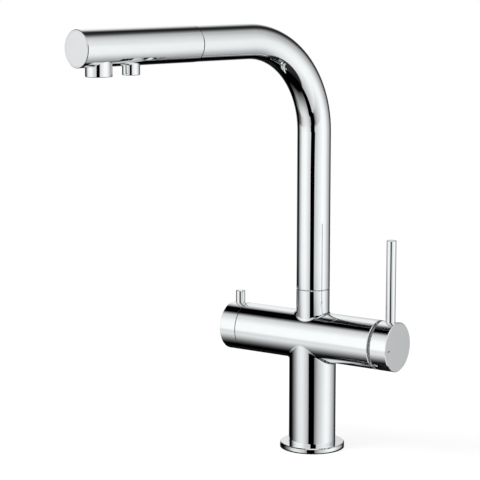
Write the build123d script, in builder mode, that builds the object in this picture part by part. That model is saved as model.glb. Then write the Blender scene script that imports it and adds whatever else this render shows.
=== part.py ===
"""Kitchen tap with three waters: hot and cold through a side mixer, filtered water through a
side valve, and a pull-out head with one nozzle for each.

Millimetres and degrees. The origin is the centre of the base flange's underside, where the tap
stands on the worktop. +Z is up, +X runs along the barrel to the mixer handle, -Y faces the user.
The spout is drawn swung towards the filter handle, as it is stored here.
"""

from build123d import *
from math import asin, cos, degrees, radians, sin, sqrt
import os

os.makedirs("parts", exist_ok=True)

# ---------------------------------------------------------------- fits
running = 0.06  # radial clearance of a turning or sliding fit
seated = 0.1  # radial clearance of a piece that sits still in its bore
free = 0.3  # air between pieces that must not touch
edge_break = 0.4  # small bevel on polished edges
overrun = 1.0  # how far a cut runs past the wall that it opens
rooting = 0.3  # how far a boss runs into the wall that carries it

# ---------------------------------------------------------------- base and column
column_inset = 0.75  # from the barrel's sides
flange_ledge = 7.5  # round the column
flange_t = 4.6
flange_lip_t = 1.0  # lip that the column stands on
flange_bevel = 0.7
base_seal_inset = 2.75  # from the flange's rim
base_seal_w = 3.5
base_seal_t = 1.8

# ---------------------------------------------------------------- under the worktop
shank_d = 33.0
shank_wall = 2.0
shank_engagement = 13.0  # how far the shank screws into the column
shank_reach = 58.0  # how far it hangs below the worktop's top
worktop_t = 40.0
clamp_d = 50.0
clamp_gasket_t = 3.0
clamp_washer_t = 2.0
shank_nut_across_flats = 41.0
shank_nut_t = 8.0

# ---------------------------------------------------------------- water ports under the body
port_thread_d = 7.0  # core of the M8 x 1 thread
port_thread_depth = 12.0
port_inset = 0.6  # between a port's thread and the shank's bore
passage_d = 5.0
mixer_port_angles = {"hot": -60.0, "mixed": 0.0, "cold": 60.0}
filter_port_angles = {"filter_in": -152.0, "filter_out": 152.0}

# ---------------------------------------------------------------- barrel
barrel_d = 41.0
barrel_z = 96.0
barrel_length = 130.9
barrel_shift = -0.65  # of its middle, towards the filter's side
column_fillet = 3.0
neck_fillet = 2.5

# ---------------------------------------------------------------- neck and spout bearing
neck_top_z = 136.5
socket_d = 24.0
socket_depth = 29.5
swivel_washer_t = 0.5
foot_collar_length = 18.0
foot_wall = 4.0
o_ring_w = 2.4
o_ring_depth = 1.7
o_ring_heights = (5.5, 12.0)  # above the socket's floor
glide_ring_w = 2.6
glide_ring_depth = 1.0
glide_ring_heights = (1.6, 24.0)
stop_screw_d = 4.0
stop_screw_drop = 9.5  # below the neck's top
stop_groove_depth = 1.6
swivel_half_range = 70.0  # either side of straight ahead

# ---------------------------------------------------------------- spout
spout_turn = -12.0  # how far the stored spout is swung about +Z
tube_d = 28.0  # also the neck's
tube_wall = 1.2
arm_z = 345.0
bend_r = 76.0
mouth_reach = 133.8  # end of the fixed arm, from the column's axis
dock_length = 21.0
dock_wall = 2.3

# ---------------------------------------------------------------- pull-out head
head_d = 28.4
head_wall = 1.3
head_gap = 0.4
head_reach = 247.0  # end face of the head, from the column's axis
spigot_length = 18.0
spigot_collar_length = 11.5
end_cap_t = 3.5
waterway_end_margin = 4.0
channel_d = 4.4
nozzle_drop = 7.0  # how far both nozzles stand out below the head
main_nozzle_inset = 20.6  # from the head's end face
main_nozzle_d = 20.4
main_nozzle_wall = 1.8
main_nozzle_seat = 7.4  # below the arm's axis
nozzle_pitch = 30.8
filter_nozzle_d = 13.6
filter_nozzle_wall = 1.7
filter_nozzle_seat = 8.4
nozzle_lip = 0.8
nozzle_seal_t = 1.6
nozzle_seal_wall = 2.6
aerator_hole_d = 1.3
aerator_hole_rings = {2.3: 6, 4.5: 12}  # circle radius: number of holes
jet_hole_d = 0.9
jet_hole_rings = {1.5: 6}

# ---------------------------------------------------------------- pull-out hose
hose_d = 11.0
hose_channel_d = 3.8
hose_channel_offset = 2.5
hose_slack = 0.5  # air round the hose in the body
ferrule_d = 13.0
ferrule_length = 20.0
coupling_d = 13.0
coupling_length = 9.0
nipple_d = 9.0
nipple_length = 10.0
hose_tail_z = -56.0

# ---------------------------------------------------------------- mixer cartridge
cartridge_nut_inset = 1.5  # from the barrel's sides
cartridge_nut_t = 6.0
cartridge_nut_step = 1.3  # from the nut down to the chamber
cartridge_slack = 0.2  # air round the cartridge in its chamber
cartridge_shoulder_w = 1.0  # that the nut presses on
cartridge_wall = 3.5
cartridge_base_t = 10.6
cartridge_port_pitch = 9.0
port_seal_d = 7.8
port_seal_t = 1.8
fixed_disc_t = 4.0
moving_disc_room = 4.0  # round the disc in the middle of its travel
moving_disc_t = 4.0
moving_disc_rest = -2.0  # height of the closed disc's centre over the barrel's axis
disc_pocket_l = 15.0
disc_pocket_w = 6.0
disc_pocket_depth = 2.0
driver_t = 6.6
driver_gap = 0.5  # between the driver and the carrier
carrier_t = 11.2
clip_t = 1.0
clip_depth = 0.9
clip_w = 3.8
clip_slack = 0.1
clip_land = 0.65  # housing beyond the clip
peg_d = 3.0
peg_length = 2.6  # into the chamber's floor
peg_offset = 11.0  # above and below the barrel's axis
key_angle = -90.0  # from +Y towards +Z
key_w = 3.0  # rail that locates the fixed disc and stops the carrier's turn
key_depth = 1.1
turn_half_range = 45.0
turn_stop_length = 3.0  # how far the carrier's groove runs over the rail's end

# ---------------------------------------------------------------- mixer lever mechanism
pivot_inset = 7.0  # from the cartridge's nose to the tilt axis
tilt_range = 25.0
tilt_pin_d = 3.0
tilt_pin_inset = 1.0  # from each side of the cartridge's bore
stem_width = 10.0
stem_depth = 8.0
stem_boss_reach = 3.5  # behind the pivot
tongue_arm = 9.0  # from the pivot to the tongue's centre
tongue_d = 6.0
tongue_neck = 3.8
tongue_slack = 0.25
stem_flat_reach = 8.0  # in front of the pivot
slot_slack = 0.3

# ---------------------------------------------------------------- cover ring
cover_recess = 0.5  # below the barrel's end face
cover_flange_t = 1.3
dome_inset = 0.5  # of the whole sphere from the ring's rim
dome_t = 1.2
dome_opening = 44.0  # half angle of its mouth, seen from the pivot
dome_relief = 0.5  # air between the dome and the drum

# ---------------------------------------------------------------- handles
mixer_drum_gap = 3.2  # between the barrel and the drum
mixer_drum_length = 14.5
filter_drum_length = 15.6
drum_wall = 1.2
drum_bevel = 0.5
lever_d = 8.0
lever_thread_d = 5.0
lever_seat_depth = 1.9
lever_thread_length = 8.6
lever_boss_d = 11.0
mixer_lever_height = 67.5  # above the drum
filter_lever_height = 10.5
set_screw_d = 5.0
set_screw_inset = 0.3
hex_key = 2.5
hex_key_depth = 2.5
mixer_set_screw_depth = 10.2  # from the drum's inner edge
dish_rim_depth = 7.6
dish_floor_depth = 2.8
dish_floor_r = 9.0
stem_round_depth = 6.0
stem_square = 8.0
mixer_end_wall = 1.7
mark_inset = 5.7  # from the drum's side, on the user's side
mark_drop = 1.0  # below the axis
mark_l = 4.2
mark_w = 0.9
mark_t = 0.4
mark_recess = 0.05

# ---------------------------------------------------------------- filter valve
valve_d = 20.0
valve_length = 27.4
valve_recess_d = 34.0
valve_recess_depth = 10.1
valve_across_flats = 27.0
valve_head_t = 5.5
valve_seal_t = 0.6
valve_seal_inner_d = 15.0
valve_disc_chamber_d = 16.0
valve_disc_t = 4.0
valve_disc_hole_d = 3.8
valve_moving_disc_t = 3.6
valve_bridge_l = 13.4
valve_bridge_depth = 1.8
valve_o_ring_inset = 1.0  # from the hexagon
spindle_d = 8.0
spindle_flange_t = 2.1
spindle_o_ring_inset = 8.0  # from the hexagon
spindle_o_ring_depth = 1.2
spindle_flat = 6.6  # across the flats that the hub grips
spindle_flat_gap = 0.5  # between the hexagon and the flats
valve_stop_angle = -45.0  # from +Y towards +Z
valve_stop_w = 2.4
valve_stop_r = 6.0  # inner radius
filter_range = 90.0
drive_tab_pitch = 12.4
drive_tab_l = 2.0
drive_tab_w = 2.4
drive_tab_t = 1.1
filter_hub_d = 16.0
filter_hub_gap = 1.5  # between the hexagon and the hub
filter_end_wall = 3.0  # beyond the spindle's end
filter_cavity_wall = 4.5

# ---------------------------------------------------------------- sizes that follow from these
barrel_right_x = barrel_shift + barrel_length / 2  # end face on the mixer's side
barrel_left_x = barrel_shift - barrel_length / 2  # end face on the filter's side
column_d = barrel_d - 2 * column_inset
flange_d = column_d + 2 * flange_ledge
shank_bore_d = shank_d - 2 * shank_wall
shank_floor_z = flange_lip_t + shank_engagement
port_circle_r = (shank_bore_d - port_thread_d) / 2 - port_inset
tube_bore_d = tube_d - 2 * tube_wall
neck_d = tube_d
socket_floor_z = neck_top_z - socket_depth
foot_z = neck_top_z + swivel_washer_t
foot_r = socket_d / 2
stop_screw_z = neck_top_z - stop_screw_drop
main_nozzle_reach = head_reach - main_nozzle_inset
filter_nozzle_reach = main_nozzle_reach - nozzle_pitch

# widths of the cartridge, from the barrel inwards
cartridge_nut_d = barrel_d - 2 * cartridge_nut_inset
chamber_d = cartridge_nut_d - 2 * cartridge_nut_step
cartridge_d = chamber_d - 2 * cartridge_slack
cartridge_nose_d = cartridge_d - 2 * cartridge_shoulder_w
cartridge_bore_d = cartridge_d - 2 * cartridge_wall
moving_disc_d = cartridge_bore_d - 2 * moving_disc_room
clip_outer_d = cartridge_bore_d + 2 * (clip_depth - seated)
dome_r = cartridge_nut_d / 2 - dome_inset

# stations along the barrel on the mixer's side, from its end face inwards
cover_face_x = barrel_right_x - cover_recess
cartridge_nose_x = cover_face_x - cover_flange_t
cartridge_shoulder_x = cartridge_nose_x - cartridge_nut_t
pivot_x = cartridge_nose_x - pivot_inset
clip_groove_x = cartridge_nose_x - clip_land - clip_t - clip_slack
carrier_end_x = clip_groove_x - clip_slack / 2
carrier_x = carrier_end_x - carrier_t
driver_x = carrier_x - driver_gap - driver_t
disc_face_x = driver_x - moving_disc_t
cartridge_base_x = disc_face_x - fixed_disc_t
cartridge_start_x = cartridge_base_x - cartridge_base_t
chamber_floor_x = cartridge_start_x - free
tongue_x = pivot_x - tongue_arm

# the mixer handle, from the end face outwards
drum_bore_r = barrel_d / 2 - drum_wall
drum_right_x = barrel_right_x + mixer_drum_gap
drum_right_end_x = drum_right_x + mixer_drum_length
mixer_lever_x = drum_right_x + mixer_drum_length / 2
mixer_set_screw_x = drum_right_x + mixer_set_screw_depth
stem_round_end_x = drum_right_x + stem_round_depth
stem_end_x = drum_right_end_x - mixer_end_wall
mark_offset = mark_inset - barrel_d / 2
lever_seat_r = barrel_d / 2 - lever_seat_depth
lever_thread_end_r = lever_seat_r - lever_thread_length

# stations on the filter's side
valve_shoulder_x = barrel_left_x + valve_recess_depth
valve_head_x = valve_shoulder_x - valve_head_t
valve_seal_x = valve_shoulder_x + valve_length
valve_floor_x = valve_seal_x + valve_seal_t
valve_disc_x = valve_seal_x - valve_disc_t
valve_moving_x = valve_disc_x - valve_moving_disc_t
valve_moving_d = valve_disc_chamber_d - 2 * free
spindle_flange_x = valve_moving_x - spindle_flange_t
valve_step_x = spindle_flange_x - free
spindle_flat_x = valve_head_x - spindle_flat_gap
filter_hub_x = valve_head_x - filter_hub_gap
drum_left_x = barrel_left_x - free
drum_left_end_x = drum_left_x - filter_drum_length
filter_lever_x = drum_left_x - filter_drum_length / 2
spindle_end_x = drum_left_end_x + filter_end_wall
filter_cavity_end_x = drum_left_end_x + filter_cavity_wall


# ---------------------------------------------------------------- planes and small helpers
def level(height):
    """The horizontal plane at a height."""
    return Plane.XY.offset(height)


def across_barrel(x):
    """The plane square to the barrel at x, with its origin on the barrel's axis; its normal is +X."""
    return Plane(origin=(x, 0, barrel_z), x_dir=(0, 1, 0), z_dir=(1, 0, 0))


arm_direction = Vector(sin(radians(spout_turn)), -cos(radians(spout_turn)), 0)
arm_side = arm_direction.cross(Vector(0, 0, 1))
arm_axis = Axis((0, 0, arm_z), arm_direction)
spout_profile = Plane(origin=(0, 0, 0), x_dir=arm_direction, z_dir=arm_side)  # (reach, height)
barrel_axis = Axis((0, 0, barrel_z), (1, 0, 0))
barrel_profile = Plane(origin=(0, 0, barrel_z), x_dir=(1, 0, 0), z_dir=(0, -1, 0))  # (x, radius)


def spout_level(height):
    """A horizontal plane turned with the spout: its x runs along the arm."""
    return Plane(origin=(0, 0, height), x_dir=arm_direction, z_dir=(0, 0, 1))


def across_arm(reach):
    """The plane square to the arm at a reach, with its origin on the arm's axis, facing outwards."""
    return Plane(origin=arm_direction * reach + Vector(0, 0, arm_z), x_dir=arm_side, z_dir=arm_direction)


def behind_neck(distance):
    """A plane behind the neck at the stop screw's height, facing the axis."""
    return Plane(origin=(0, distance, stop_screw_z), x_dir=(1, 0, 0), z_dir=(0, -1, 0))


def under_arm(reach, drop):
    """A horizontal plane below the arm's axis that faces down, centred under a reach."""
    centre = arm_direction * reach + Vector(0, 0, arm_z - drop)
    return Plane(origin=centre, x_dir=arm_direction, z_dir=(0, 0, -1))


def ring(plane, outer_d, inner_d, length):
    """A plain ring that stands on a plane."""
    with BuildPart() as piece:
        with BuildSketch(plane):
            Circle(outer_d / 2)
            Circle(inner_d / 2, mode=Mode.SUBTRACT)
        extrude(amount=length)
    return piece


def save(piece, name):
    """Label a finished piece and write it."""
    piece.part.label = name
    export_step(piece.part, f"parts/{name}.step")


# ================================================================ base and fixing
base_seal_outer_d = flange_d - 2 * base_seal_inset
base_seal_inner_d = base_seal_outer_d - 2 * base_seal_w

with BuildPart() as base_flange:
    with BuildSketch(level(0)):
        Circle(flange_d / 2)
        Circle(shank_d / 2 + free, mode=Mode.SUBTRACT)
    extrude(amount=flange_t)
    with BuildSketch(level(flange_lip_t)):
        Circle(column_d / 2 + seated)
    extrude(amount=flange_t, mode=Mode.SUBTRACT)
    with BuildSketch(level(0)):
        Circle(base_seal_outer_d / 2 + seated)
        Circle(base_seal_inner_d / 2 - seated, mode=Mode.SUBTRACT)
    extrude(amount=base_seal_t, mode=Mode.SUBTRACT)
    rims = base_flange.edges().filter_by(GeomType.CIRCLE).group_by(SortBy.RADIUS)[-1]
    chamfer(rims.sort_by(Axis.Z)[-1], flange_bevel)
save(base_flange, "base_flange")

base_seal = ring(level(0), base_seal_outer_d, base_seal_inner_d, base_seal_t)
save(base_seal, "base_seal")

fixing_shank = ring(level(-shank_reach), shank_d, shank_bore_d, shank_reach + shank_floor_z)
save(fixing_shank, "fixing_shank")

gasket_z = -worktop_t - clamp_gasket_t
clamp_gasket = ring(level(gasket_z), clamp_d, shank_d + 2 * free, clamp_gasket_t)
save(clamp_gasket, "clamp_gasket")

clamp_washer_z = gasket_z - clamp_washer_t
clamp_washer = ring(level(clamp_washer_z), clamp_d, shank_d + 2 * free, clamp_washer_t)
save(clamp_washer, "clamp_washer")

with BuildPart() as shank_nut:
    with BuildSketch(level(clamp_washer_z - shank_nut_t)):
        RegularPolygon(shank_nut_across_flats / 2, 6, major_radius=False)
        Circle(shank_d / 2 + running, mode=Mode.SUBTRACT)
    extrude(amount=shank_nut_t)
save(shank_nut, "shank_nut")

# ================================================================ body of the tap
with BuildPart() as tap_body:
    # column, barrel and neck, blended where they meet
    with BuildSketch(level(flange_lip_t)):
        Circle(column_d / 2)
    extrude(amount=barrel_z - flange_lip_t)
    with BuildSketch(across_barrel(barrel_left_x)):
        Circle(barrel_d / 2)
    extrude(amount=barrel_right_x - barrel_left_x)
    fillet(tap_body.edges().filter_by(GeomType.BSPLINE), column_fillet)
    with BuildSketch(level(barrel_z)):
        Circle(neck_d / 2)
    extrude(amount=neck_top_z - barrel_z)
    fillet(tap_body.edges().filter_by(GeomType.BSPLINE).sort_by(Axis.Z)[-1], neck_fillet)
    polished_ends = tap_body.faces().filter_by(GeomType.PLANE).edges().filter_by(GeomType.CIRCLE)
    chamfer(polished_ends.filter_by(lambda e: e.center().Z > column_d), edge_break)
    # thread for the fixing shank
    with BuildSketch(level(flange_lip_t)):
        Circle(shank_d / 2 + running)
    extrude(amount=shank_engagement, mode=Mode.SUBTRACT)
    # straight way up for the pull-out hose, and the spout's socket
    with BuildSketch(level(shank_floor_z)):
        Circle(hose_d / 2 + hose_slack)
    extrude(amount=neck_top_z, mode=Mode.SUBTRACT)
    with BuildSketch(level(socket_floor_z)):
        Circle(foot_r + running)
    extrude(amount=neck_top_z, mode=Mode.SUBTRACT)
    # mixer chamber with its ring nut's thread
    with BuildSketch(across_barrel(chamber_floor_x)):
        Circle(chamber_d / 2)
    extrude(amount=barrel_right_x, mode=Mode.SUBTRACT)
    with BuildSketch(across_barrel(cartridge_shoulder_x)):
        Circle(cartridge_nut_d / 2)
    extrude(amount=barrel_right_x, mode=Mode.SUBTRACT)
    with BuildSketch(across_barrel(chamber_floor_x)):
        with GridLocations(0, 2 * peg_offset, 1, 2):
            Circle(peg_d / 2 + seated)
    extrude(amount=-peg_length - free, mode=Mode.SUBTRACT)
    # filter valve's thread and the recess round its hexagon
    with BuildSketch(across_barrel(valve_floor_x)):
        Circle(valve_d / 2 + seated)
    extrude(amount=barrel_left_x, mode=Mode.SUBTRACT)
    with BuildSketch(across_barrel(valve_shoulder_x)):
        Circle(valve_recess_d / 2)
    extrude(amount=barrel_left_x, mode=Mode.SUBTRACT)
    # five threaded ports, each with its riser and its cross passage
    for side_floor_x, angles in ((chamber_floor_x, mixer_port_angles), (valve_floor_x, filter_port_angles)):
        for angle in angles.values():
            port_x = port_circle_r * cos(radians(angle))
            port_y = port_circle_r * sin(radians(angle))
            with BuildSketch(level(shank_floor_z)):
                with Locations((port_x, port_y)):
                    Circle(port_thread_d / 2)
            extrude(amount=port_thread_depth, mode=Mode.SUBTRACT)
            with BuildSketch(level(shank_floor_z)):
                with Locations((port_x, port_y)):
                    Circle(passage_d / 2)
            extrude(amount=barrel_z - shank_floor_z, mode=Mode.SUBTRACT)
            with BuildSketch(across_barrel(port_x)):
                with Locations((port_y, 0)):
                    Circle(passage_d / 2)
            extrude(amount=side_floor_x - port_x, mode=Mode.SUBTRACT)
    # thread for the stop screw, at the back of the neck
    with BuildSketch(behind_neck(neck_d / 2)):
        Circle(stop_screw_d / 2)
    extrude(amount=neck_d / 2 - foot_r + overrun, mode=Mode.SUBTRACT)
save(tap_body, "tap_body")

# ================================================================ spout bearing
swivel_washer = ring(
    level(neck_top_z), neck_d - 2 * edge_break, socket_d + 2 * seated, swivel_washer_t
)
save(swivel_washer, "swivel_washer")

groove_floor_r = foot_r - stop_groove_depth
screw_tip_r = groove_floor_r + free
screw_head_r = neck_d / 2 - set_screw_inset
with BuildPart() as swivel_stop_screw:
    with BuildSketch(behind_neck(screw_head_r)):
        Circle(stop_screw_d / 2)
    extrude(amount=screw_head_r - screw_tip_r)
    with BuildSketch(behind_neck(screw_head_r)):
        RegularPolygon(hex_key / 2, 6, major_radius=False)
    extrude(amount=hex_key_depth / 2, mode=Mode.SUBTRACT)
save(swivel_stop_screw, "swivel_stop_screw")

# the groove lets the screw run to each end of the swing
screw_half_angle = degrees(asin((stop_screw_d / 2 + free) / groove_floor_r))
groove_half_angle = swivel_half_range + screw_half_angle
groove_height = stop_screw_d + 2 * free
groove_start = radians(90 + spout_turn - groove_half_angle)
groove_profile = Plane(
    origin=(0, 0, stop_screw_z),
    x_dir=(cos(groove_start), sin(groove_start), 0),
    z_dir=(sin(groove_start), -cos(groove_start), 0),
)

with BuildPart() as spout_foot:
    with BuildSketch(level(socket_floor_z + free)):
        Circle(foot_r)
    extrude(amount=foot_z - socket_floor_z - free)
    with BuildSketch(level(foot_z)):
        Circle(tube_bore_d / 2 - running)
    extrude(amount=foot_collar_length)
    with BuildSketch(level(socket_floor_z)):
        Circle(foot_r - foot_wall)
    extrude(amount=foot_z + foot_collar_length, mode=Mode.SUBTRACT)
    for height in o_ring_heights:
        with BuildSketch(level(socket_floor_z + height)):
            Circle(foot_r)
            Circle(foot_r - o_ring_depth, mode=Mode.SUBTRACT)
        extrude(amount=o_ring_w, mode=Mode.SUBTRACT)
    for height in glide_ring_heights:
        with BuildSketch(level(socket_floor_z + height)):
            Circle(foot_r)
            Circle(foot_r - glide_ring_depth, mode=Mode.SUBTRACT)
        extrude(amount=glide_ring_w, mode=Mode.SUBTRACT)
    # stop groove: part of a ring, centred at the back when the spout points straight ahead
    with BuildSketch(groove_profile):
        with Locations((foot_r, 0)):
            Rectangle(2 * stop_groove_depth, groove_height)
    revolve(axis=Axis.Z, revolution_arc=2 * groove_half_angle, mode=Mode.SUBTRACT)
save(spout_foot, "spout_foot")


def foot_rings(heights, width, depth):
    """Two rings in the foot's grooves."""
    with BuildPart() as rings:
        for height in heights:
            with BuildSketch(level(socket_floor_z + height)):
                Circle(foot_r)
                Circle(foot_r - depth, mode=Mode.SUBTRACT)
            extrude(amount=width)
    return rings


spout_o_rings = foot_rings(o_ring_heights, o_ring_w, o_ring_depth)
save(spout_o_rings, "spout_o_rings")

spout_glide_rings = foot_rings(glide_ring_heights, glide_ring_w, glide_ring_depth)
save(spout_glide_rings, "spout_glide_rings")

# ================================================================ spout tube
with BuildPart() as spout_tube:
    with BuildLine(spout_profile):
        FilletPolyline((0, foot_z), (0, arm_z), (mouth_reach, arm_z), radius=bend_r)
    with BuildSketch(spout_level(foot_z)):
        Circle(tube_d / 2)
        Circle(tube_bore_d / 2, mode=Mode.SUBTRACT)
    sweep()
    outer_rims = spout_tube.faces().filter_by(GeomType.PLANE).edges()
    chamfer(outer_rims.filter_by(lambda e: e.radius > tube_d / 2 - tube_wall / 2), edge_break / 2)
save(spout_tube, "spout_tube")

dock_start = mouth_reach - dock_length
dock_bore_d = tube_bore_d - 2 * dock_wall
dock_bush = ring(across_arm(dock_start), tube_bore_d - 2 * running, dock_bore_d, dock_length)
save(dock_bush, "dock_bush")

# ================================================================ pull-out head
head_start = mouth_reach + head_gap
head_bore_d = head_d - 2 * head_wall
nozzle_bottom = head_d / 2 + nozzle_drop

with BuildPart() as head_shell:
    with BuildSketch(across_arm(head_start)):
        Circle(head_d / 2)
    extrude(amount=head_reach - head_start)
    chamfer(head_shell.edges().filter_by(GeomType.CIRCLE), edge_break)
    with BuildSketch(across_arm(head_start)):
        Circle(head_bore_d / 2)
    extrude(amount=head_reach - head_start, mode=Mode.SUBTRACT)
    for reach, nozzle_d in (
        (main_nozzle_reach, main_nozzle_d),
        (filter_nozzle_reach, filter_nozzle_d),
    ):
        with BuildSketch(under_arm(reach, 0)):
            Circle(nozzle_d / 2 + seated)
        extrude(amount=head_d, mode=Mode.SUBTRACT)
save(head_shell, "head_shell")

with BuildPart() as head_end_cap:
    with BuildSketch(across_arm(head_reach)):
        Circle(head_bore_d / 2 - running)
    extrude(amount=-end_cap_t)
save(head_end_cap, "head_end_cap")

spigot_start = mouth_reach - spigot_length
collar_start = head_start
collar_end = collar_start + spigot_collar_length
with BuildPart() as head_spigot:
    with BuildSketch(across_arm(spigot_start)):
        Circle(dock_bore_d / 2 - running)
    extrude(amount=collar_start - spigot_start)
    with BuildSketch(across_arm(collar_start)):
        Circle(head_bore_d / 2 - running)
    extrude(amount=spigot_collar_length)
    with BuildSketch(across_arm(spigot_start)):
        Circle(ferrule_d / 2 + seated)
    extrude(amount=collar_end - spigot_start, mode=Mode.SUBTRACT)
    tip = head_spigot.edges().filter_by(GeomType.CIRCLE).group_by(arm_axis)[0]
    chamfer(tip.sort_by(SortBy.RADIUS)[-1], edge_break)
save(head_spigot, "head_spigot")

waterway_end = head_reach - end_cap_t - waterway_end_margin
with BuildPart() as head_waterway:
    with BuildSketch(across_arm(collar_end)):
        Circle(head_bore_d / 2 - seated)
    extrude(amount=waterway_end - collar_end)
    # seats of the two nozzles
    for reach, nozzle_d, seat in (
        (main_nozzle_reach, main_nozzle_d, main_nozzle_seat),
        (filter_nozzle_reach, filter_nozzle_d, filter_nozzle_seat),
    ):
        with BuildSketch(under_arm(reach, seat)):
            Circle(nozzle_d / 2 + seated)
        extrude(amount=head_d, mode=Mode.SUBTRACT)
    # one channel for each water, from the hose to its nozzle
    for reach, seat, offset in (
        (main_nozzle_reach, main_nozzle_seat, hose_channel_offset),
        (filter_nozzle_reach, filter_nozzle_seat, -hose_channel_offset),
    ):
        with BuildSketch(across_arm(collar_end)):
            with Locations((offset, 0)):
                Circle(channel_d / 2)
        extrude(amount=reach - collar_end, mode=Mode.SUBTRACT)
        with BuildSketch(under_arm(reach, 0)):
            with Locations((0, -offset)):
                Circle(channel_d / 2)
        extrude(amount=seat, mode=Mode.SUBTRACT)
save(head_waterway, "head_waterway")


def nozzle(reach, outer_d, wall, seat):
    """A nozzle ring that screws up into the waterway and holds its insert on an inner lip."""
    with BuildPart() as piece:
        with BuildSketch(under_arm(reach, seat)):
            Circle(outer_d / 2)
        extrude(amount=nozzle_bottom - seat)
        bottom = piece.edges().filter_by(GeomType.CIRCLE).sort_by(Axis.Z)[0]
        chamfer(bottom, edge_break)
        with BuildSketch(under_arm(reach, seat)):
            Circle(outer_d / 2 - wall)
        extrude(amount=nozzle_bottom - seat - nozzle_lip, mode=Mode.SUBTRACT)
        with BuildSketch(under_arm(reach, seat)):
            Circle(outer_d / 2 - wall - nozzle_lip)
        extrude(amount=nozzle_bottom, mode=Mode.SUBTRACT)
    return piece


main_nozzle = nozzle(main_nozzle_reach, main_nozzle_d, main_nozzle_wall, main_nozzle_seat)
save(main_nozzle, "main_nozzle")

filter_nozzle = nozzle(filter_nozzle_reach, filter_nozzle_d, filter_nozzle_wall, filter_nozzle_seat)
save(filter_nozzle, "filter_nozzle")


def nozzle_insert(reach, outer_d, wall, seat, hole_d, hole_rings):
    """The insert that shapes the jet, between the seal above and the nozzle's lip below."""
    bore_r = outer_d / 2 - wall
    with BuildPart() as piece:
        with BuildSketch(under_arm(reach, seat + nozzle_seal_t)):
            Circle(bore_r - running)
        extrude(amount=nozzle_bottom - nozzle_lip - seat - nozzle_seal_t)
        with BuildSketch(under_arm(reach, seat + nozzle_seal_t)):
            Circle(bore_r - nozzle_seal_wall)
        extrude(amount=nozzle_seal_t, mode=Mode.SUBTRACT)
        with BuildSketch(under_arm(reach, seat)):
            Circle(hole_d / 2)
            for circle_r, count in hole_rings.items():
                with PolarLocations(circle_r, count):
                    Circle(hole_d / 2)
        extrude(amount=nozzle_bottom, mode=Mode.SUBTRACT)
    return piece


aerator = nozzle_insert(
    main_nozzle_reach,
    main_nozzle_d,
    main_nozzle_wall,
    main_nozzle_seat,
    aerator_hole_d,
    aerator_hole_rings,
)
save(aerator, "aerator")

filter_jet = nozzle_insert(
    filter_nozzle_reach,
    filter_nozzle_d,
    filter_nozzle_wall,
    filter_nozzle_seat,
    jet_hole_d,
    jet_hole_rings,
)
save(filter_jet, "filter_jet")

with BuildPart() as nozzle_seals:
    for reach, outer_d, wall, seat in (
        (main_nozzle_reach, main_nozzle_d, main_nozzle_wall, main_nozzle_seat),
        (filter_nozzle_reach, filter_nozzle_d, filter_nozzle_wall, filter_nozzle_seat),
    ):
        with BuildSketch(under_arm(reach, seat)):
            Circle(outer_d / 2 - wall - running)
            Circle(outer_d / 2 - wall - nozzle_seal_wall, mode=Mode.SUBTRACT)
        extrude(amount=nozzle_seal_t)
save(nozzle_seals, "nozzle_seals")

# ================================================================ pull-out hose
ferrule_start = collar_end - ferrule_length


# hose, ferrule and coupling share one channel for mixed and one for filtered water
twin_pitch = 2 * hose_channel_offset

with BuildPart() as pull_hose:
    with BuildLine(spout_profile):
        FilletPolyline((0, hose_tail_z), (0, arm_z), (ferrule_start, arm_z), radius=bend_r)
    with BuildSketch(spout_level(hose_tail_z)):
        Circle(hose_d / 2)
        with GridLocations(0, twin_pitch, 1, 2):
            Circle(hose_channel_d / 2, mode=Mode.SUBTRACT)
    sweep()
save(pull_hose, "pull_hose")

with BuildPart() as hose_ferrule:
    with BuildSketch(across_arm(ferrule_start)):
        Circle(ferrule_d / 2)
        with GridLocations(twin_pitch, 0, 2, 1):
            Circle(hose_channel_d / 2, mode=Mode.SUBTRACT)
    extrude(amount=ferrule_length)
save(hose_ferrule, "hose_ferrule")

with BuildPart() as hose_coupling:
    with BuildSketch(spout_level(hose_tail_z)):
        Circle(coupling_d / 2)
    extrude(amount=-coupling_length)
    with BuildSketch(spout_level(hose_tail_z - coupling_length)):
        Circle(nipple_d / 2)
    extrude(amount=-nipple_length)
    with BuildSketch(spout_level(hose_tail_z)):
        with GridLocations(0, twin_pitch, 1, 2):
            Circle(hose_channel_d / 2)
    extrude(amount=-coupling_length - nipple_length, mode=Mode.SUBTRACT)
save(hose_coupling, "hose_coupling")

# ================================================================ mixer cartridge
cartridge_bore_r = cartridge_bore_d / 2
key_r = cartridge_bore_r - key_depth
key_half_angle = degrees(asin(key_w / 2 / cartridge_bore_r))
key_length = carrier_x + turn_stop_length - free - cartridge_base_x


def ring_sector(x, length, inner_r, outer_r, middle, half_angle):
    """Part of a ring round the barrel's axis, to both sides of a middle angle from +Y towards +Z."""
    with BuildPart() as piece:
        with BuildSketch(across_barrel(x)):
            with BuildLine():
                first = radians(middle - half_angle)
                last = radians(middle + half_angle)
                Polyline(
                    (0, 0),
                    (2 * outer_r * cos(first), 2 * outer_r * sin(first)),
                    (2 * outer_r * cos(last), 2 * outer_r * sin(last)),
                    close=True,
                )
            make_face()
            Circle(outer_r, mode=Mode.INTERSECT)
            Circle(inner_r, mode=Mode.SUBTRACT)
        extrude(amount=length)
    return piece.part


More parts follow.
